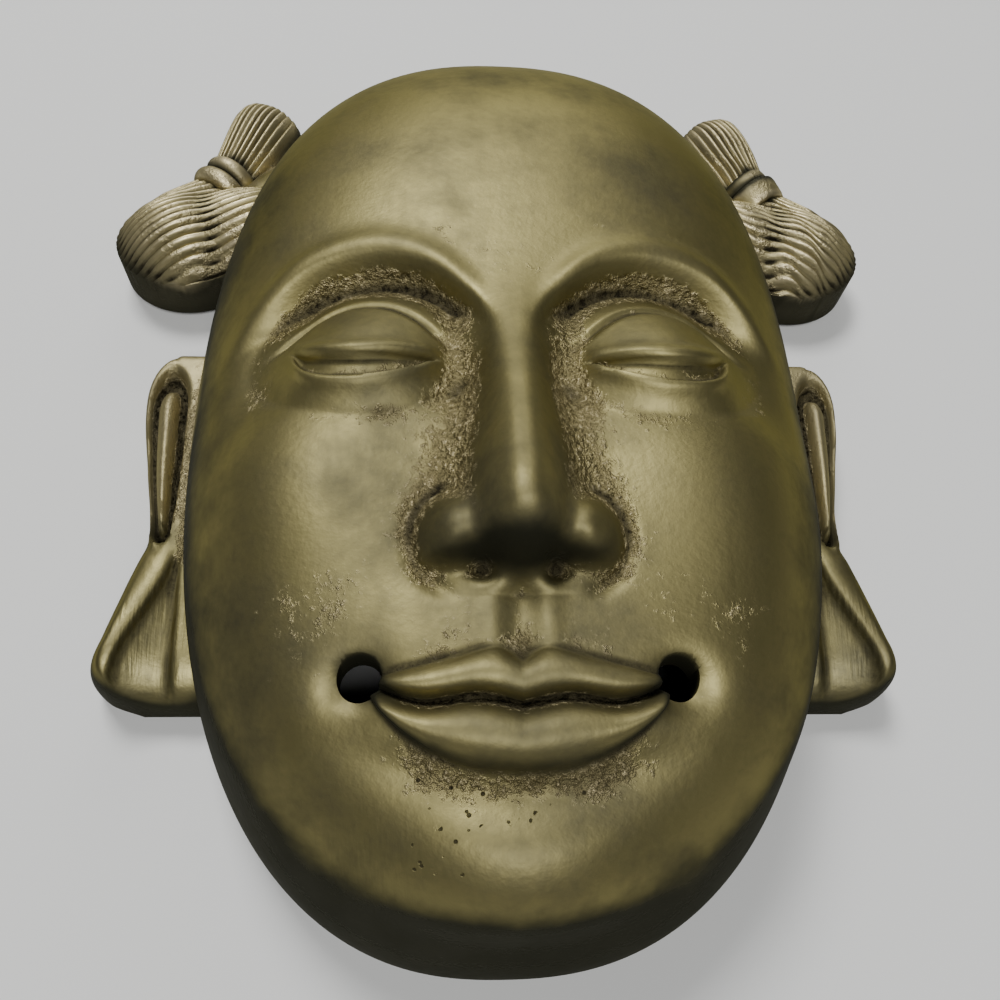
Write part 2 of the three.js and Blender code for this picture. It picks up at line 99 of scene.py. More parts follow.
# Head shell: a hollow brass casting with a carved face. It was cast over a carved model,
# so its high places are filed and polished, and its hollows keep the skin of the mould.
# All its sizes are in millimetres until the mesh is made.
HALF_WIDTH = 47.5
HALF_LENGTH = cad_high.y / MM
DOME_DEPTH = 42
OUTLINE_POWER = 2.4
PROFILE_POWER = 2.8
WALL = 3

# The face is laid out by the common canon of drawing: the eyes halfway up the head, the
# brow, the nose's base and the chin one face-third apart, and the head five eyes wide.
THIRD = 2 * HALF_LENGTH / 3.5
EYE_WIDTH = 2 * HALF_WIDTH / 5
EYE_X = EYE_WIDTH
BROW_Y = -HALF_LENGTH + 2 * THIRD
NOSE_BASE_Y = -HALF_LENGTH + THIRD
MOUTH_Y = NOSE_BASE_Y - THIRD / 3
MOUTH_HALF = 0.92 * EYE_WIDTH
FINEST = 0.55


def ramp(low, high, value):
    t = np.clip((value - low) / (high - low), 0, 1)
    return t * t * (3 - 2 * t)


def bell(value, width):
    return np.exp(-((value / width) ** 2))


def mound(x, y, centre_x, centre_y, reach_x, reach_y):
    return bell(x - centre_x, reach_x) * bell(y - centre_y, reach_y)


def blend(a, b, width):
    """The larger of two heights, with the corner between them rounded off."""
    t = np.clip(0.5 + (a - b) / (2 * width), 0, 1)
    return b + (a - b) * t + width * t * (1 - t)


def curve(*points):
    """A smooth curve y(x) through a few points that are sorted by x."""
    px, py = np.array(points, float).T
    count = np.arange(len(px))
    before = np.maximum(count - 1, 0)
    after = np.minimum(count + 1, len(px) - 1)
    slope = (py[after] - py[before]) / (px[after] - px[before])

    def at(x):
        x = np.asarray(x, float)
        i = np.clip(np.searchsorted(px, x) - 1, 0, len(px) - 2)
        width = px[i + 1] - px[i]
        t = np.clip((x - px[i]) / width, 0, 1)
        s = 1 - t
        ends = py[i] * s * s * (1 + 2 * t) + py[i + 1] * t * t * (1 + 2 * s)
        return ends + width * (slope[i] * t * s * s - slope[i + 1] * s * t * t)

    return at


brow_line = curve(
    (-6, BROW_Y - 3),
    (0, BROW_Y - 9),
    (6, BROW_Y - 3),
    (13, BROW_Y + 2.2),
    (21, BROW_Y + 3.6),
    (30, BROW_Y + 0.8),
    (40, BROW_Y - 8),
)


def socket(x, y):
    """A sharp-edged hollow under an arched brow that runs into the nose."""
    below = brow_line(x) - y
    reach = ramp(2, 9, x) * (1 - ramp(27, 40, x))
    hollow = -4.2 * ramp(-0.4, 3.4, below) * (1 - ramp(9, 25, below))
    return reach * (hollow + 0.9 * bell(below + 1.6, 2.2))


EYE_IN = EYE_X - EYE_WIDTH / 2
EYE_OUT = EYE_X + EYE_WIDTH / 2 + 1
upper_lid = curve(
    (EYE_IN, -3.2), (EYE_X - 4, -4.2), (EYE_X + 1, -4.6), (EYE_X + 6.5, -3.2), (EYE_OUT, 0)
)
lower_lid = curve(
    (EYE_IN, -3.2), (EYE_X - 4, -6.5), (EYE_X + 1, -7.4), (EYE_X + 6.5, -5.6), (EYE_OUT, 0)
)
lid_crease = curve(
    (EYE_IN - 1.5, -0.6), (EYE_X - 4, 5), (EYE_X + 2, 6.4), (EYE_X + 7, 4.9), (EYE_OUT + 3, 0.4)
)


def eye(x, y):
    """A ball under heavy lowered lids, with a narrow opening and a crease over it."""
    across = (x - EYE_X - 0.5) / 16
    up = (y + 0.4) / 11.5
    ball = 5.6 * np.maximum(0, 1 - across * across - up * up) ** 1.3
    within = ramp(EYE_IN - 0.8, EYE_IN + 1.6, x) * (1 - ramp(EYE_OUT - 3.4, EYE_OUT, x))
    over = y - upper_lid(x)
    under = lower_lid(x) - y
    edge = 0.5 * FINEST
    opening = -1.5 * ramp(-edge, edge, -over) * ramp(-edge, edge, -under)
    rolls = 0.6 * bell(over - 1.0, 0.8 + edge) + 0.6 * bell(under - 0.9, 0.7 + edge)
    creased = ramp(EYE_IN - 3, EYE_IN + 2, x) * (1 - ramp(EYE_OUT - 1, EYE_OUT + 5, x))
    return ball + within * (opening + rolls) - creased * 0.9 * bell(y - lid_crease(x), 0.4 + edge)


nose_height = curve(
    (NOSE_BASE_Y - 3, 0),
    (NOSE_BASE_Y - 0.6, 3.2),
    (NOSE_BASE_Y + 2, 10),
    (NOSE_BASE_Y + 5.5, 13),
    (NOSE_BASE_Y + 12, 11.2),
    (-10, 7),
    (0, 3.4),
    (BROW_Y, 0.6),
    (BROW_Y + 9, 0),
)
nose_half = curve((NOSE_BASE_Y, 6.4), (NOSE_BASE_Y + 8, 6.2), (-12, 5.4), (0, 4.8), (BROW_Y, 6))
WING_X = 0.4 * EYE_WIDTH
WING_Y = NOSE_BASE_Y + 4


def nose(x, y):
    """A ridge that rises from the brow to a rounded tip, with wings and nostrils."""
    ridge = nose_height(y) * np.exp(-((x / nose_half(y)) ** 2.4))
    reach = ((x - WING_X) / 3.9) ** 2 + ((y - WING_Y) / 4.6) ** 2
    wing = 6 * np.exp(-(reach**1.15)) * ramp(NOSE_BASE_Y - 1, NOSE_BASE_Y + 1.6, y)
    groove = -0.7 * bell(np.sqrt(reach) - 1.36, 0.24) * ramp(WING_X - 1, WING_X + 2.5, x)
    nostril = -3.4 * mound(x, y, 4.1, NOSE_BASE_Y + 0.4, 1.9, 1.5)
    return blend(ridge, 0.35 * ridge + wing, 2.8) - 0.7 + groove + nostril


mouth_line = curve(
    (0, MOUTH_Y - 0.6), (5, MOUTH_Y + 0.2), (11, MOUTH_Y - 0.1), (MOUTH_HALF, MOUTH_Y + 2)
)
upper_edge = curve(
    (0, MOUTH_Y + 4.3), (3, MOUTH_Y + 5.5), (8, MOUTH_Y + 4.4), (MOUTH_HALF, MOUTH_Y + 2.4)
)
lower_edge = curve(
    (0, MOUTH_Y - 7.2), (6, MOUTH_Y - 6.7), (12, MOUTH_Y - 3.8), (MOUTH_HALF, MOUTH_Y + 1.4)
)


def mouth(x, y):
    """Closed full lips with a faint smile on a soft mound, under a philtrum."""
    end = 1 - ramp(MOUTH_HALF - 3, MOUTH_HALF + 0.6, x)
    line = mouth_line(x)
    up = (y - line) / np.maximum(upper_edge(x) - line, 0.8)
    down = (line - y) / np.maximum(line - lower_edge(x), 0.8)

    def roll(share):
        return np.maximum(0, 1 - (2 * np.clip(share, 0, 1) - 1) ** 2) ** 0.85

    lips = end * (2 * roll(up) + 3 * roll(down))
    parting = -1.1 * end * bell(y - line, 0.8)
    corner = -2.4 * mound(x, y, MOUTH_HALF + 0.6, MOUTH_Y + 2, 3, 2.6)
    philtrum = -0.6 * bell(x, 1.9) + 0.3 * bell(x - 3.2, 1.5)
    over = ramp(MOUTH_Y + 4, MOUTH_Y + 6.5, y) * (1 - ramp(NOSE_BASE_Y - 3, NOSE_BASE_Y, y))
    return 3 * mound(x, y, 0, MOUTH_Y + 1, 22, 13) + lips + parting + corner + philtrum * over


def fullness(x, y):
    """Forehead, cheeks, jaw and chin: broad full forms."""
    chin = 5.5 * mound(x, y, 0, MOUTH_Y - 17, 16, 9)
    under_lip = -2 * mound(x, y, 0, MOUTH_Y - 9.6 + 0.015 * x * x, 13, 2.8)
    cheek = 3.4 * mound(x, y, 28, -20, 14, 15) + 2.4 * mound(x, y, 30, -44, 15, 17)
    return chin + under_lip + cheek + 2 * mound(x, y, 0, 40, 34, 20)


def relief(x, y):
    """Height of the carving over the plain dome."""
    return socket(x, y) + eye(x, y) + nose(x, y) + mouth(x, y) + fullness(x, y)


def back_relief(x, y):
    """The lowest relief found close by, which the back of the casting follows."""
    lowest = relief(x, y)
    for radius in (2.5, 5):
        for eighth in range(8):
            turn = eighth * math.pi / 4
            there = relief(np.abs(x + radius * math.cos(turn)), y + radius * math.sin(turn))
            lowest = np.minimum(lowest, there)
    return lowest


def line_places(half, pitch):
    """Grid lines between -1 and 1, pitch apart along the dome's arc."""
    place = np.linspace(-1, 1, 4001)
    middle = (place[1:] + place[:-1]) / 2
    step = half * math.pi / 4000 / pitch(half * np.sin(middle * math.pi / 2))
    total = np.concatenate([[0], np.cumsum(step)])
    count = int(round(total[-1] / 2)) * 2
    return np.interp(np.linspace(0, total[-1], count + 1), total, place)


FOREHEAD_ROW = 30
CREASE_ROW = 4
UPPER_LID_ROW = -4
LOWER_LID_ROW = -7
CHEEK_ROW = -20
NOSE_ROW = NOSE_BASE_Y - 4
LIP_TOP_ROW = MOUTH_Y + 5
LIP_FOOT_ROW = MOUTH_Y - 7
CHIN_ROW = -66


def along_carving(x, y):
    """Moves points up or down so that the mesh's rows run along brow, lids and lips. Each
    row is bent only as far aside as its feature reaches, and rows keep some room between."""

    def bent(row, line, reach):
        return row + (line - row) * reach

    brow_reach = 1 - ramp(30, 44, x)
    lid_reach = ramp(EYE_IN - 5, EYE_IN + 0.5, x) * (1 - ramp(EYE_OUT - 1.5, EYE_OUT + 7, x))
    lip_reach = 1 - ramp(MOUTH_HALF - 1, MOUTH_HALF + 8, x)
    brow = bent(BROW_Y, brow_line(np.minimum(x, 40)), brow_reach)
    crease = bent(CREASE_ROW, lid_crease(x), lid_reach)
    upper = bent(UPPER_LID_ROW, upper_lid(x), lid_reach)
    lower = bent(LOWER_LID_ROW, lower_lid(x), lid_reach)
    lip_top = bent(LIP_TOP_ROW, upper_edge(x), lip_reach)
    lip = bent(MOUTH_Y, mouth_line(x), lip_reach)
    lip_foot = bent(LIP_FOOT_ROW, lower_edge(x), lip_reach)
    lines = [
        (FOREHEAD_ROW, FOREHEAD_ROW + 0 * x),
        (BROW_Y, blend(brow, 7.5, 2)),
        (CREASE_ROW, np.maximum(crease, upper + 2.6)),
        (UPPER_LID_ROW, upper),
        (LOWER_LID_ROW, np.minimum(lower, upper - 0.9)),
        (CHEEK_ROW, CHEEK_ROW + 0 * x),
        (NOSE_ROW, NOSE_ROW + 0 * x),
        (LIP_TOP_ROW, np.maximum(lip_top, lip + 1.6)),
        (MOUTH_Y, lip),
        (LIP_FOOT_ROW, np.minimum(lip_foot, lip - 1.6)),
        (CHIN_ROW, CHIN_ROW + 0 * x),
    ]
    moved = y.copy()
    for (top, top_line), (foot, foot_line) in zip(lines, lines[1:]):
        between = (y < top) & (y >= foot)
        share = (y - foot) / (top - foot)
        moved = np.where(between, foot_line + share * (top_line - foot_line), moved)
    return moved


def dome(s, t, inset, height):
    """Places on the dome for grid places s and t, the whole moved inwards by inset."""
    u = s * np.sqrt(1 - t * t / 2)
    v = t * np.sqrt(1 - s * s / 2)
    angle = np.arctan2(v, u)
    square = np.abs(np.cos(angle)) ** OUTLINE_POWER + np.abs(np.sin(angle)) ** OUTLINE_POWER
    reach = np.sin(np.minimum(1, np.hypot(u, v)) * math.pi / 2) / square ** (1 / OUTLINE_POWER)
    x = (HALF_WIDTH - inset) * reach * np.cos(angle)
    y = (HALF_LENGTH - inset) * reach * np.sin(angle)
    y = along_carving(np.abs(x), y)
    across = np.abs(x) / (HALF_WIDTH - inset)
    along = np.abs(y) / (HALF_LENGTH - inset)
    out = (across**OUTLINE_POWER + along**OUTLINE_POWER) ** (1 / OUTLINE_POWER)
    fall = np.maximum(0, 1 - out**PROFILE_POWER)
    z = np.where(fall < 1e-6, 0, (DOME_DEPTH - inset) * fall ** (1 / PROFILE_POWER))
    steep = out ** (PROFILE_POWER - OUTLINE_POWER)
    normal = np.stack(
        [
            steep * np.sign(x) * across ** (OUTLINE_POWER - 1) / HALF_WIDTH,
            steep * np.sign(y) * along ** (OUTLINE_POWER - 1) / HALF_LENGTH,
            (z / DOME_DEPTH) ** (PROFILE_POWER - 1) / DOME_DEPTH,
        ]
    )
    normal /= np.linalg.norm(normal, axis=0)
    lift = height(np.abs(x), y) * (1 - ramp(0.88, 0.99, out))
    return (np.stack([x, y, z]) + normal * lift).T


def places_of(piece):
    found = np.empty(len(piece.data.vertices) * 3, np.float32)
    piece.data.vertices.foreach_get("co", found)
    return found.reshape(-1, 3).astype(float)


def place(piece, places):
    piece.data.vertices.foreach_set("co", places.astype(np.float32).ravel())
    piece.data.update()


def sheet_of(name, columns, rows, shape):
    """A grid primitive whose points shape() moves from lines s and t to their places."""
    bpy.ops.object.select_all(action="DESELECT")
    bpy.ops.mesh.primitive_grid_add(
        x_subdivisions=len(columns) - 1, y_subdivisions=len(rows) - 1, size=2
    )
    piece = bpy.context.object
    piece.name = name
    flat = places_of(piece)
    column = np.rint((flat[:, 0] + 1) / 2 * (len(columns) - 1)).astype(int)
    row = np.rint((flat[:, 1] + 1) / 2 * (len(rows) - 1)).astype(int)
    place(piece, shape(columns[column], rows[row]) * MM)
    return piece


def close_below(piece, depth):
    """Extrudes the open edge straight down to a height and fills it with one flat face."""
    bpy.ops.object.mode_set(mode="EDIT")
    bpy.ops.mesh.select_mode(type="EDGE")
    bpy.ops.mesh.select_all(action="DESELECT")
    bpy.ops.mesh.select_non_manifold()
    bpy.ops.mesh.extrude_edges_move()
    bpy.ops.transform.resize(
        value=(1, 1, 0), center_override=(0, 0, depth * MM), orient_type="GLOBAL"
    )
    bpy.ops.mesh.edge_face_add()
    bpy.ops.mesh.select_all(action="SELECT")
    bpy.ops.mesh.remove_doubles(threshold=1e-7)
    bpy.ops.mesh.normals_make_consistent(inside=False)
    bpy.ops.object.mode_set(mode="OBJECT")


def select_only(piece):
    bpy.ops.object.select_all(action="DESELECT")
    piece.select_set(True)
    bpy.context.view_layer.objects.active = piece


def combine(piece, other, operation):
    """Joins another closed piece on, or cuts it out, and deletes it."""
    change = piece.modifiers.new("combine", "BOOLEAN")
    change.operation = operation
    change.solver = "MANIFOLD"
    change.object = other
    select_only(piece)
    bpy.ops.object.modifier_apply(modifier=change.name)
    bpy.data.objects.remove(other)


across_pitch = curve(
    (-48, 1.4), (-34, 0.7), (-26, 0.5), (0, 0.44), (26, 0.5), (34, 0.7), (48, 1.4)
)
along_pitch = curve(
    (-75, 1.5),
    (-66, 0.9),
    (-57, 0.55),
    (-38, 0.5),
    (-34, 0.26),
    (-29, 0.26),
    (-25, 0.5),
    (-16, 0.55),
    (-9, 0.44),
    (12, 0.44),
    (17, 0.8),
    (28, 1.2),
    (75, 1.6),
)
casting = sheet_of(
    "brass_mask",
    line_places(HALF_WIDTH, across_pitch),
    line_places(HALF_LENGTH, along_pitch),
    lambda s, t: dome(s, t, 0, relief),
)
close_below(casting, 0)

hollow = sheet_of(
    "hollow",
    line_places(HALF_WIDTH, lambda x: 2.8 + 0 * x),
    line_places(HALF_LENGTH, lambda y: 3.2 + 0 * y),
    lambda s, t: dome(s, t, WALL, back_relief),
)
close_below(hollow, -2)

# Ears: cast on to the sides of the head. The upper part is a rolled rim round a tongue, and
# the long lobe flares outwards, with a filed flat between its round band and the head.
EAR_TOP = 18.5
EAR_FOOT = -39.5
EAR_INNER = 40
EAR_BACK = 1.5
EAR_HEIGHT = 11.5
SIDE_ROUNDING = 3.4
TOP_ROUNDING = 3.2
FOOT_ROUNDING = 8
ear_outer = curve(
    (EAR_FOOT, 52),
    (-37.8, 56.8),
    (-35, 59.2),
    (-30, 58.2),
    (-22.5, 56.2),
    (-14, 53.9),
    (-3, 55.4),
    (7, 57),
    (13, 56.6),
    (16.8, 53.6),
    (EAR_TOP, 49),
)
tongue_x = curve((-14, 50.2), (-4, 51.2), (9, 51.9))
tongue_reach_in = curve((-14, 1.8), (-4, 3.4), (8, 4))
tongue_reach_out = curve((-14, 2.2), (-8, 3.6), (0, 4.4), (9, 4.9))
TONGUE_FOOT = -13.5
TONGUE_TOP = 7
lobe_ridge_x = curve((-36, 55.5), (-32, 54.2), (-25.5, 51), (-20, 48.6), (-13, 47.6))


def ear_shell(x, y):
    """Upper ear: from its spine outwards come the tongue, a groove and the rolled rim."""
    along = np.clip(y, TONGUE_FOOT, TONGUE_TOP)
    aside = x - tongue_x(along)
    reach = np.where(aside > 0, tongue_reach_out(along), tongue_reach_in(along))
    beyond = (y - along) / np.where(y > 0, 9, 4)
    away = np.hypot(aside / reach, beyond)
    tongue = 1.3 * bell(away, 0.27)
    groove = -2.7 * bell(away - 0.52, 0.15)
    inner_roll = ramp(0.66, 0.86, away) * ramp(1, -1, aside)
    return tongue + groove + 1.2 * np.maximum(bell(away - 0.86, 0.17), inner_roll)


def ear_lobe(x, y):
    """Lobe: a broad round band, with a lower filed facet between its ridge and the head."""
    aside = x - lobe_ridge_x(y)
    inside = np.maximum(-aside, 0)
    facet = -(1.1 * ramp(0, 1, inside) + 0.16 * inside) * ramp(-16, -21, y)
    land = 1.2 * (1 - ramp(46.6, 47.8, x))
    return 1.5 * bell(aside - 1.5, 3.8) + facet + land


def ear_surface(x, y):
    """Height of the ear's front: the carving, rounded over towards the outline."""
    upper = ramp(-19, -15.5, y)
    carving = upper * ear_shell(x, y) + (1 - upper) * ear_lobe(x, y)
    side = np.clip((ear_outer(y) - x) / SIDE_ROUNDING, 0, 1)
    top = np.clip((EAR_TOP - y) / TOP_ROUNDING, 0, 1)
    foot = np.clip((y - EAR_FOOT) / FOOT_ROUNDING, 0, 1)
    rounding = np.sqrt(1 - (1 - side) ** 2) * np.sqrt(1 - (1 - top) ** 2)
    rounding *= 0.35 + 0.65 * np.sqrt(1 - (1 - foot) ** 2)
    return EAR_BACK + (EAR_HEIGHT - EAR_BACK + carving) * rounding


def ear_shape(s, t):
    """Places on the ear for lines s from the head outwards and t from the foot to the top."""
    length_share = (t + 1) / 2
    eased = 0.55 * length_share + 0.45 * (0.5 - 0.5 * np.cos(math.pi * length_share))
    y = EAR_FOOT + (EAR_TOP - EAR_FOOT) * eased
    share = np.maximum(0, np.sin((s + 1) / 4 * math.pi)) ** 0.9
    x = EAR_INNER + (ear_outer(y) - EAR_INNER) * share
    return np.stack([x, y, ear_surface(x, y)]).T


def to_right_side(piece):
    """Mirrors a piece made for the left side of the head, and turns its faces out again."""
    select_only(piece)
    bpy.ops.object.mode_set(mode="EDIT")
    bpy.ops.mesh.select_all(action="SELECT")
    bpy.ops.transform.resize(value=(-1, 1, 1), center_override=(0, 0, 0))
    bpy.ops.mesh.normals_make_consistent(inside=False)
    bpy.ops.object.mode_set(mode="OBJECT")


left_ear = sheet_of("left_ear", np.linspace(-1, 1, 43), np.linspace(-1, 1, 121), ear_shape)
close_below(left_ear, EAR_BACK)
select_only(left_ear)
bpy.ops.object.duplicate()
right_ear = bpy.context.object
right_ear.name = "right_ear"
to_right_side(right_ear)

# Side knots of hair: each is tied by two turns of cord, with a fanned tuft above the tie and
# a fat round lobe below. Strands cut into the wax model cross the top, and the walls are
# plain. They are wavy and under flat bands on the left, straight under round cords right.
TIE = np.array([48.2, 54.6, 9.3])
TUFT_WAY = Vector((-0.39, 0.92, 0)).normalized()
LOBE_WAY = Vector((0.62, -0.785, 0)).normalized()
ALONG_KNOT = (LOBE_WAY - TUFT_WAY).normalized()
LOBE_MIDDLE = (54.3, 42.3)
LOBE_HALF = (11, 9.3)
LOBE_WALL = 9.4
LOBE_TOP = 16.8
NECK_LENGTH = 12
SHOULDER_MIDDLE = (41, 44)
SHOULDER_HALF = (18, 10)
LOBE_STRAND_WAY = Vector((0.9, -0.436, 0)).normalized()
STRAND_PITCH = 1.36
STRAND_CUT = 0.85
TUFT_LENGTH = 20
TUFT_ROOT = -4
TUFT_WALL = 8
TUFT_HALF = 4.2
TUFT_SPREAD = 3.5
TUFT_STRANDS = 11
WEB_MIDDLE = (40.5, 50, 5)
WEB_HALF = (6.5, 15, 9)
WEB_TURN = 0.55


def lobe_fullness(x, y):
    """1 over the lobe's middle, 0 on its outline: a round cushion with a neck that opens
    from the tie and a shoulder that runs into the head."""
    off_x = (x - LOBE_MIDDLE[0]) / LOBE_HALF[0]
    off_y = (y - LOBE_MIDDLE[1]) / LOBE_HALF[1]
    cushion = 1 - np.hypot(off_x, off_y) ** 2.1
    along = (x - TIE[0]) * LOBE_WAY.x + (y - TIE[1]) * LOBE_WAY.y
    aside = (y - TIE[1]) * LOBE_WAY.x - (x - TIE[0]) * LOBE_WAY.y
    opened = np.clip(along, 0, NECK_LENGTH)
    neck_half = 4.3 + 0.3 * opened
    neck = (0.36 + 0.035 * opened) * (1 - (aside / neck_half) ** 2)
    neck = neck * (1 - ramp(9, 15, along)) - 0.02 - 2 * ramp(-1, -4, along)
    from_x = (x - SHOULDER_MIDDLE[0]) / SHOULDER_HALF[0]
    from_y = (y - SHOULDER_MIDDLE[1]) / SHOULDER_HALF[1]
    shoulder = 1.05 * (1 - from_x**2 - from_y**2)
    return blend(blend(cushion, neck, 0.2), shoulder, 0.2)


def scatter(count):
    """A fixed, uneven number between 0 and 1 for each whole number."""
    return np.abs(np.sin(count * 12.9898 + 4.1) * 43758.5453) % 1


def strand_groove(count, fullness):
    """Depth of the cut on either side of a strand: each strand has a height of its own."""
    ridge = np.abs(np.sin(count * math.pi)) ** 0.8
    number = np.floor(count)
    crest = 0.24 * scatter(number) * ridge
    return STRAND_CUT * (1 - ridge * (1 - crest)) * (0.6 + 0.4 * ramp(0, 0.08, fullness))


def eased(share):
    """Moves grid lines a little closer to both ends."""
    return 0.75 * share + 0.25 * np.sin(share * math.pi / 2)


def strand_path(along, line, waves):
    """Place in plan of a point on the lobe's strand lines, which fan out a little."""
    way = LOBE_STRAND_WAY
    wave = np.sin(along * 0.32 + line * 0.25) + 0.35 * np.sin(along * 0.9 + line)
    across = line * (1 - 0.012 * along) - waves * wave
    x = LOBE_MIDDLE[0] + along * way.x - across * way.y
    y = LOBE_MIDDLE[1] + along * way.y + across * way.x
    return x, y


def spans(lines, waves):
    """First and last place along each strand line at which the lobe has some height."""
    along = np.linspace(-24, 24, 961)
    filled = lobe_fullness(*strand_path(along[None, :], lines[:, None], waves)) > 0
    first = along[np.argmax(filled, axis=1)]
    last = along[len(along) - 1 - np.argmax(filled[:, ::-1], axis=1)]
    return first, last, filled.any(axis=1)


def lobe_shape(waves):
    """Places on the lobe for lines s across its strands and t along them."""
    trial = np.linspace(-20, 20, 4001)
    covered = trial[spans(trial, waves)[2]]
    low, high = covered[2], covered[-3]

    def shape(s, t):
        line = (low + high) / 2 + (high - low) / 2 * eased(s)
        first, last, covered = spans(line, waves)
        along = (first + last) / 2 + (last - first) / 2 * eased(t)
        x, y = strand_path(along, line, waves)
        full = np.clip(lobe_fullness(x, y), 0, 1.1)
        full = np.where((np.abs(s) > 0.999) | (np.abs(t) > 0.999), 0, full)
        top = LOBE_WALL + (LOBE_TOP - LOBE_WALL) * full**0.85
        return np.stack([x, y, top - strand_groove(line / STRAND_PITCH, full)]).T

    return shape


def tuft_shape(waves):
    """Places on the tuft, whose strands fan out from the tie to a blunt end."""

    def shape(s, t):
        along = TUFT_ROOT + (TUFT_LENGTH - TUFT_ROOT) * np.sin((t + 1) / 4 * math.pi)
        share = np.maximum(along, 0) / TUFT_LENGTH
        across = eased(s)
        half = (TUFT_HALF + TUFT_SPREAD * share) * np.maximum(0.02, 1 - share**8) ** 0.45
        full = np.clip((1 - np.abs(across) ** 2.3) * (1 - share**6), 0, 1)
        full = np.where(np.abs(s) > 0.999, 0, full)
        z = TUFT_WALL + (4 + 4.6 * share) * full**0.6
        z = z - 0.9 * strand_groove(across * TUFT_STRANDS / 2, full)
        bent = waves * (np.sin(share * 5) + 0.3 * np.sin(share * 12 + 3 * across))
        aside = across * half + bent * (1 - across**2)
        x = TIE[0] + along * TUFT_WAY.x + aside * TUFT_WAY.y
        y = TIE[1] + along * TUFT_WAY.y - aside * TUFT_WAY.x
        return np.stack([x, y, z]).T

    return shape


def cord_turn(shift, radius, half_thick, half_wide, taper, corner):
    """One turn round the tie, shifted along the knot: a corner of 2 gives a round cord, and
    more a flat band, which tapers towards the lobe."""
    bpy.ops.object.select_all(action="DESELECT")
    bpy.ops.mesh.primitive_torus_add(
        major_radius=radius * MM, minor_radius=1 * MM, major_segments=80, minor_segments=24
    )
    piece = bpy.context.object
    piece.name = "cord_turn"
    ring = places_of(piece) / MM
    out = np.hypot(ring[:, 0], ring[:, 1])
    section = out - radius
    square = (np.abs(section) ** corner + np.abs(ring[:, 2]) ** corner) ** (1 / corner)
    wide = ring[:, 2] / square * half_wide
    thick = section / square * half_thick - taper * wide
    ring[:, :2] *= ((radius + thick) / out)[:, None]
    ring[:, 2] = wide
    facing = np.array(Vector((0, 0, 1)).rotation_difference(ALONG_KNOT).to_matrix())
    place(piece, (ring @ facing.T + TIE + np.array(ALONG_KNOT) * shift) * MM)
    return piece


def knot_web():
    """A low web of metal that fills the space between the knot and the head."""
    bpy.ops.object.select_all(action="DESELECT")
    bpy.ops.mesh.primitive_uv_sphere_add(segments=48, ring_count=24, radius=1)
    piece = bpy.context.object
    piece.name = "knot_web"
    turned = np.array(Matrix.Rotation(WEB_TURN, 3, "Z"))
    place(piece, (places_of(piece) * WEB_HALF @ turned.T + WEB_MIDDLE) * MM)
    return piece


def hair_knot(side, waves, turns):
    """A whole knot for the left side: lobe, tuft, turns of cord and web, flat at the back."""
    knot = sheet_of(
        f"{side}_knot", np.linspace(-1, 1, 119), np.linspace(-1, 1, 41), lobe_shape(waves)
    )
    close_below(knot, EAR_BACK)
    tuft = sheet_of("tuft", np.linspace(-1, 1, 81), np.linspace(-1, 1, 29), tuft_shape(waves))
    close_below(tuft, EAR_BACK)
    combine(knot, tuft, "UNION")
    for turn in turns:
        combine(knot, cord_turn(*turn), "UNION")
    combine(knot, knot_web(), "UNION")
    bpy.ops.object.select_all(action="DESELECT")
    bpy.ops.mesh.primitive_cube_add(size=1, location=(0, 0, EAR_BACK * MM - 0.5))
    below = bpy.context.object
    bpy.ops.object.transform_apply(location=True, rotation=False, scale=False)
    combine(knot, below, "DIFFERENCE")
    return knot


# Each turn's shift, radius, half thickness, half width, taper and corner, for cord_turn.
ROUND_CORDS = ((1.5, 3.8, 1.6, 1.65, 0, 2), (-1.7, 3.7, 1.4, 1.5, 0, 2))
FLAT_BANDS = ((1.1, 4.3, 0.9, 2.2, 0.16, 5), (-2.5, 4, 0.8, 1.2, 0, 3))
WAVY = 0.55
STRAIGHT = 0.04
left_knot = hair_knot("left", WAVY, FLAT_BANDS)
right_knot = hair_knot("right", STRAIGHT, ROUND_CORDS)
to_right_side(right_knot)

# One casting: the ears and knots run into the shell, the shell is hollowed from the back,
# and two holes are drilled through at the corners of the mouth.
HOLE_RADIUS = 2.6
HOLE_X = MOUTH_HALF + 0.8
HOLE_Y = MOUTH_Y + 2.2
DRILL_LENGTH = 60
DRILL_MIDDLE = 40

for part in (left_ear, right_ear, left_knot, right_knot):
    combine(casting, part, "UNION")
combine(casting, hollow, "DIFFERENCE")
for side in (-1, 1):
    bpy.ops.object.select_all(action="DESELECT")
    bpy.ops.mesh.primitive_cylinder_add(
        vertices=48,
        radius=HOLE_RADIUS * MM,
        depth=DRILL_LENGTH * MM,
        location=(side * HOLE_X * MM, HOLE_Y * MM, DRILL_MIDDLE * MM),
    )
    drill = bpy.context.object
    bpy.ops.object.transform_apply(location=True, rotation=True, scale=True)
    combine(casting, drill, "DIFFERENCE")

# A speck that the joins leave loose in a crevice of a tie is taken out: all that hangs
# together with the highest point, the tip of the nose, stays.
tip_of_nose = int(np.argmax(places_of(casting)[:, 2]))
select_only(casting)
bpy.ops.object.mode_set(mode="EDIT")
bpy.ops.mesh.select_mode(type="VERT")
bpy.ops.mesh.select_all(action="DESELECT")
bpy.ops.object.mode_set(mode="OBJECT")
casting.data.vertices[tip_of_nose].select = True
bpy.ops.object.mode_set(mode="EDIT")
bpy.ops.mesh.select_linked()
bpy.ops.mesh.select_all(action="INVERT")
bpy.ops.mesh.delete(type="VERT")
bpy.ops.object.mode_set(mode="OBJECT")

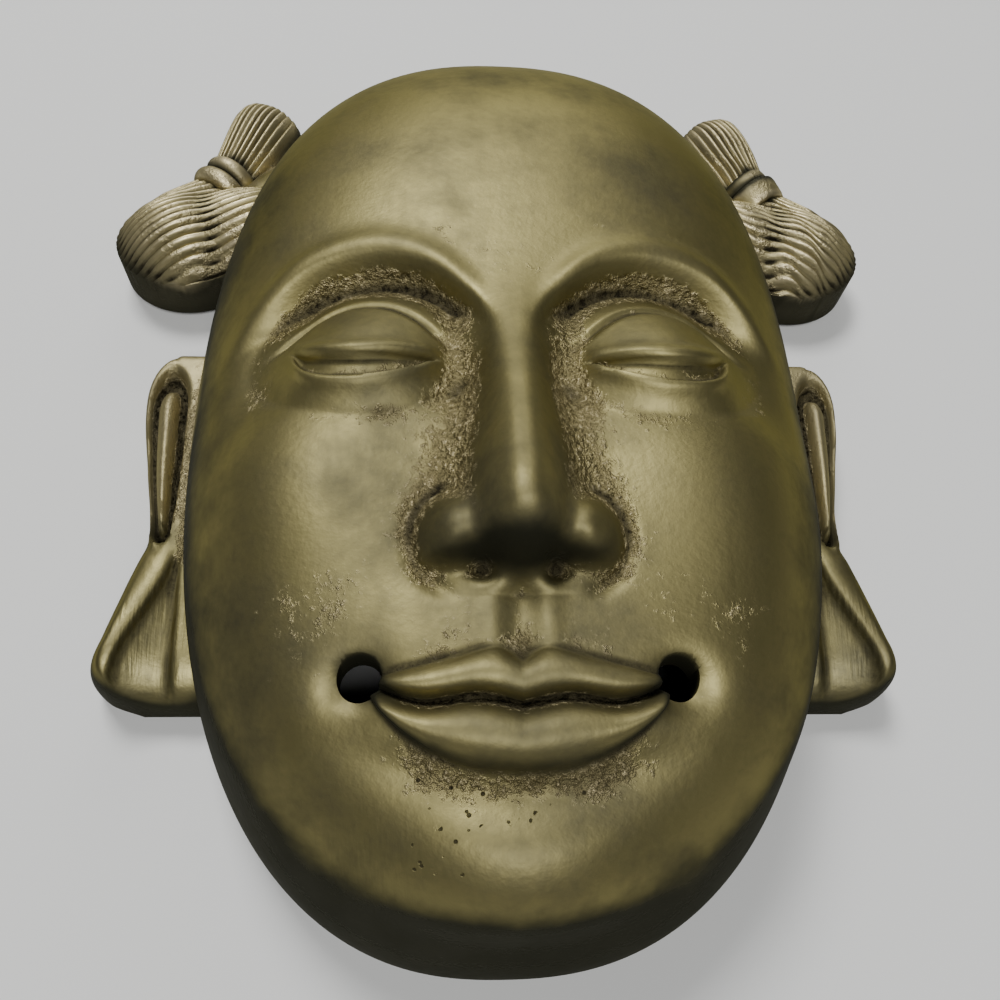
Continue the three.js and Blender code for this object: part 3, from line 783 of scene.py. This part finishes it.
# Brass finish: filing and wear take the mould's skin off all that stands proud, so what lies
# lower than its surroundings keeps it, and the flanks are painted dark as shade and dark
# reflection. Grooves, hollows and flanks are worked out from the finished shape and kept on
# its points for the material.
GROOVE_ROUNDS = 6
BAND_ROUNDS = 40
HOLLOW_ROUNDS = 90
SHORTEST_EDGE = 0.05 * MM
place_now = places_of(casting)
edges = np.empty(len(casting.data.edges) * 2, np.int32)
casting.data.edges.foreach_get("vertices", edges)
start, end = edges.reshape(-1, 2).T
apart = np.linalg.norm(place_now[start] - place_now[end], axis=1)
weight = 1 / np.maximum(apart, SHORTEST_EDGE)
points = len(place_now)
total = np.bincount(start, weight, points) + np.bincount(end, weight, points)


def spread(values, rounds):
    """Each point's mean over its neighbours, the near ones counting for more."""
    for _ in range(rounds):
        sums = np.bincount(start, weight * values[end], points)
        sums += np.bincount(end, weight * values[start], points)
        values = sums / total
    return values


facing = np.empty(points * 3, np.float32)
casting.data.vertex_normals.foreach_get("vector", facing)
facing = facing.reshape(-1, 3)


def depth_below(rounds):
    """How far each point lies below the surface that is left when all is evened out."""
    even = np.stack([spread(place_now[:, axis], rounds) for axis in range(3)], axis=1)
    return np.sum((even - place_now) * facing, axis=1) / MM


def store(name, values, limit):
    layer = casting.data.attributes.new(name, "FLOAT", "POINT")
    layer.data.foreach_set("value", np.clip(values, -limit, limit).astype(np.float32))


groove_depth = depth_below(GROOVE_ROUNDS)
store("seam", spread(groove_depth, 1) - spread(groove_depth, BAND_ROUNDS), 1)
store("sunken", spread(depth_below(HOLLOW_ROUNDS), 3), 3)
store("steep", 1 - spread(facing[:, 2], 25), 1)

select_only(casting)
bpy.ops.object.shade_smooth_by_angle(angle=math.radians(65))

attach(casting, "root")
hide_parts("mask_casting")


class Value:
    """A shader value: sums, differences and products of values add their Math nodes."""

    def __init__(self, finish, socket):
        self.finish = finish
        self.socket = socket

    def maths(self, operation, first, second):
        return self.finish.add("ShaderNodeMath", {"operation": operation}, {0: first, 1: second})

    def __add__(self, other):
        return self.maths("ADD", self, other)

    def __radd__(self, other):
        return self.maths("ADD", other, self)

    def __sub__(self, other):
        return self.maths("SUBTRACT", self, other)

    def __rsub__(self, other):
        return self.maths("SUBTRACT", other, self)

    def __mul__(self, other):
        return self.maths("MULTIPLY", self, other)

    def __rmul__(self, other):
        return self.maths("MULTIPLY", other, self)


class Finish:
    """A material that is built up node by node."""

    def __init__(self, name):
        self.material = bpy.data.materials.new(name)
        self.material.use_nodes = True
        self.tree = self.material.node_tree
        self.shader = self.tree.nodes["Principled BSDF"]

    def add(self, kind, settings, sockets, output=0):
        """Adds a node, sets it up, fills its sockets and gives back one of its outputs."""
        node = self.tree.nodes.new(kind)
        for name, setting in settings.items():
            setattr(node, name, setting)
        for name, value in sockets.items():
            if isinstance(value, Value):
                self.tree.links.new(value.socket, node.inputs[name])
            else:
                node.inputs[name].default_value = value
        return Value(self, node.outputs[output])

    def between(self, low, high, value):
        """0 where value is below low, 1 above high, and a smooth step between."""
        return self.add(
            "ShaderNodeMapRange",
            {"interpolation_type": "SMOOTHSTEP"},
            {"Value": value, "From Min": low, "From Max": high},
        )

    def mix(self, share, first, second):
        """A colour between two, each a colour or the value of another node."""
        return self.add(
            "ShaderNodeMix",
            {"data_type": "RGBA"},
            {"Factor": share, 6: first, 7: second},
            2,
        )

    def noise(self, vector, scale, detail, roughness):
        return self.add(
            "ShaderNodeTexNoise",
            {},
            {"Vector": vector, "Scale": scale, "Detail": detail, "Roughness": roughness},
            "Fac",
        )

    def feed(self, name, value):
        self.tree.links.new(value.socket, self.shader.inputs[name])


brass = Finish("aged_brass")
spot = brass.add("ShaderNodeTexCoord", {}, {}, "Object")
seam = brass.add("ShaderNodeAttribute", {"attribute_name": "seam"}, {}, "Fac")
sunken = brass.add("ShaderNodeAttribute", {"attribute_name": "sunken"}, {}, "Fac")
steep = brass.add("ShaderNodeAttribute", {"attribute_name": "steep"}, {}, "Fac")


def near(place_mm, inner_mm, outer_mm):
    """1 close to a place on the mask, falling to 0 further out."""
    distance = brass.add(
        "ShaderNodeVectorMath",
        {"operation": "DISTANCE"},
        {0: spot, 1: [value * MM for value in place_mm]},
        "Value",
    )
    return brass.between(outer_mm * MM, inner_mm * MM, distance)


def both_sides(place_mm, inner_mm, outer_mm):
    """near() for a place on the left side of the mask and for its mirror image."""
    x, y, z = place_mm
    return near((x, y, z), inner_mm, outer_mm) + near((-x, y, z), inner_mm, outer_mm)


def stretched(scale, turn):
    """Coordinates drawn out along a direction, for streaks, file marks and scratches."""
    return brass.add(
        "ShaderNodeMapping", {}, {"Vector": spot, "Scale": scale, "Rotation": (0, 0, turn)}
    )


# Patterns from the broadest to the finest, their scales in waves to the metre.
patches = brass.between(0.4, 0.68, brass.noise(spot, 42, 4, 0.6))
clouds = brass.noise(spot, 130, 3, 0.65)
ragged = brass.noise(spot, 300, 2, 0.65)
streaks = brass.noise(stretched((1, 0.16, 0.6), 0.1), 320, 3, 0.6)
lumps = brass.noise(spot, 900, 1, 0.6)
speckle = brass.noise(spot, 1100, 2, 0.6)
grain = brass.noise(spot, 1900, 2, 0.8)
coarse = 0.6 * grain + 0.4 * lumps

# Places on the mask whose finish differs from the rest; the temples and the lobes' lower
# ends are painted darker as shade.
knots = both_sides((56, 45, 12), 13.5, 17.5) + both_sides((45, 65, 12), 8, 12)
ears = both_sides((52, 2, 10), 13, 18)
lobes = both_sides((50, -30, 9), 10, 13)
lobe_end_shade = both_sides((51, -38, 8), 3, 11)
temple_shade = both_sides((40, 30, 24), 6, 20)
unfiled = both_sides((23, -39, 35), 1, 13)
rubbed = 0.5 * near((0, -34, 44), 2, 8) + 0.25 * near((0, -58, 38), 2, 15)

# The mould's skin is kept in the hollows and has ragged edges. Its pores are painted dark as
# shade, and its glints are painted highlights.
kept = sunken + 0.65 * unfiled - rubbed + 0.9 * (ragged - 0.5) + 0.8 * (clouds - 0.5)
kept = brass.between(0.05, 0.75, kept + 0.9 * (coarse - 0.5))
skin = kept * brass.between(-0.2, 0.15, sunken + unfiled) * (1 - lobes)
shaded_pores = skin * brass.between(0.49, 0.38, coarse)
painted_glints = skin * brass.between(0.53, 0.64, coarse)
uneven = brass.between(0.35, 0.6, ragged) * (0.4 * knots + 0.3 * ears)
rough_cast = brass.between(0, 1, skin + uneven)

# Grime and painted shade lie in the grooves, the knots' proud crests get a painted
# highlight, and the flanks are painted dark as shade and dark reflection.
# Grime, together with painted shade, in the grooves and creases.
grime_and_crease_shade = brass.between(0.03, 0.22, seam + 0.06 * (ragged - 0.5))
proud = brass.between(0.02, 0.16, -1 * seam)
# Painted shade and dark reflection: the steep flanks are darkened, less so on the ears.
flank_shade = brass.between(0.28, 0.64, steep + 0.2 * (clouds - 0.5)) * (1 - 0.6 * ears)

# Gas pits open in the polished metal of the chin, in loose clusters.
pit_cells = brass.add("ShaderNodeTexVoronoi", {}, {"Vector": spot, "Scale": 900}, "Distance")
pit_kind = brass.noise(spot, 560, 1, 0.5)
pit_place = near((-9, -60, 36), 3, 15) + 0.8 * near((5, -57, 37), 1, 9)
pits = brass.between(0.27, 0.14, pit_cells) * brass.between(0.48, 0.56, pit_kind * pit_place)

# File marks cross the jaw and the flats of the lobes, and short ticks the crown.
file_lines = brass.noise(stretched((1, 0.06, 0.3), 0.12), 2400, 1, 0.5)
filed = near((-34, -50, 22), 2, 12) + near((-16, -64, 27), 2, 12)
# The lobes' filed facets carry file marks and are painted darker as shade.
filed_shaded_lobe_facet = both_sides((49, -30, 9), 6, 9)
ticks = brass.noise(stretched((1, 0.2, 0.2), -0.2), 800, 1, 0.5)
ticked = brass.between(0.62, 0.7, ticks) * near((0, 69, 18), 8, 20)
marks = (filed + filed_shaded_lobe_facet) * (file_lines - 0.5)

# Colours of worn and tarnished metal, also used for painted shade; of the mould's skin; of
# painted shade on the flanks; of grime and painted shade in creases; of scratches and of
# painted highlights.
WORN = (0.288, 0.252, 0.11, 1)
OLIVE = (0.125, 0.114, 0.066, 1)
BROWN = (0.28, 0.235, 0.122, 1)
SHADE_DARK = (0.028, 0.028, 0.018, 1)
SOOT_AND_SHADE = (0.022, 0.018, 0.01, 1)
PALE = (0.66, 0.57, 0.34, 1)
tone = 0.7 * patches + 0.9 * (clouds - 0.5) + 0.3 * (streaks - 0.5) + 0.5 * marks
# Painted shade: the temples, the lobes' filed facets and the lobes' lower ends are darkened
# towards olive.
tone = tone + 0.5 * temple_shade + 0.4 * (speckle - 0.5) + 0.15 * filed_shaded_lobe_facet + 0.35 * lobe_end_shade
surface = brass.mix(tone, WORN, OLIVE)
surface = brass.mix(ticked * 0.35, surface, PALE)
surface = brass.mix(rough_cast * (0.35 + 0.6 * grain), surface, BROWN)
# Painted highlight: glints in the mould's skin are mixed towards pale.
surface = brass.mix(painted_glints * 0.75, surface, PALE)
# Painted highlight: the knots, most of all their proud crests, and the ears are painted paler.
surface = brass.mix(knots * (0.38 + 0.8 * proud) + 0.3 * ears, surface, PALE)
# Painted shade: the flanks are mixed towards near black.
surface = brass.mix(flank_shade * 0.97, surface, SHADE_DARK)
# Grime with painted crease shade, painted shade in the pores, and the dark gas pits, mixed
# towards soot black.
crease_grime_and_shade = grime_and_crease_shade * (0.5 + 0.6 * grain + 0.2 * knots)
surface = brass.mix(crease_grime_and_shade + shaded_pores * 0.38 + pits * 0.85, surface, SOOT_AND_SHADE)
brass.feed("Base Color", surface)
brass.shader.inputs["Specular Tint"].default_value = (0.3, 0.31, 0.26, 1)
dullness = 0.44 + 0.12 * streaks + 0.1 * patches + 0.1 * (clouds - 0.5)
dullness = dullness - 0.1 * knots * proud - 0.05 * lobes
brass.feed("Roughness", dullness + 0.04 * skin + 0.2 * grime_and_crease_shade + 0.2 * pits + 0.15 * flank_shade)
brass.feed("Metallic", 1 - 0.5 * grime_and_crease_shade - 0.4 * pits - 0.3 * flank_shade)
skin_height = rough_cast * (1.5 * (grain - 0.5) + 1.7 * (lumps - 0.5))
land_height = 0.1 * (speckle - 0.5) + 0.14 * marks
bump = brass.add(
    "ShaderNodeBump",
    {},
    {"Height": skin_height + land_height - 0.6 * pits, "Strength": 1, "Distance": 0.0004},
)
brass.feed("Normal", bump)
casting.data.materials.clear()
casting.data.materials.append(brass.material)

# Table top: a plain pale surface for the mask to lie on, and soft studio light.
bpy.ops.object.select_all(action="DESELECT")
bpy.ops.mesh.primitive_plane_add(size=4)
table_top = bpy.context.object
table_top.name = "table_top"
pale = bpy.data.materials.new("pale_table")
pale.use_nodes = True
pale.node_tree.nodes["Principled BSDF"].inputs["Base Color"].default_value = (0.8, 0.8, 0.78, 1)
pale.node_tree.nodes["Principled BSDF"].inputs["Roughness"].default_value = 0.9
table_top.data.materials.append(pale)


def soft_light(name, place_mm, size_mm, power):
    bpy.ops.object.light_add(type="AREA")
    lamp = bpy.context.object
    lamp.name = name
    lamp.data.size = size_mm * MM
    lamp.data.energy = power
    lamp.location = Vector(place_mm) * MM
    lamp.rotation_euler = (-lamp.location).to_track_quat("-Z", "Y").to_euler()


soft_light("key_light", (-170, 400, 760), 260, 5.1)
soft_light("crown_light", (60, 800, 330), 500, 1.6)
soft_light("fill_light", (50, -430, 810), 300, 4.8)
world = bpy.data.worlds.new("studio")
world.use_nodes = True
world.node_tree.nodes["Background"].inputs["Color"].default_value = (0.8, 0.85, 0.9, 1)
world.node_tree.nodes["Background"].inputs["Strength"].default_value = 0.07
bpy.context.scene.world = world
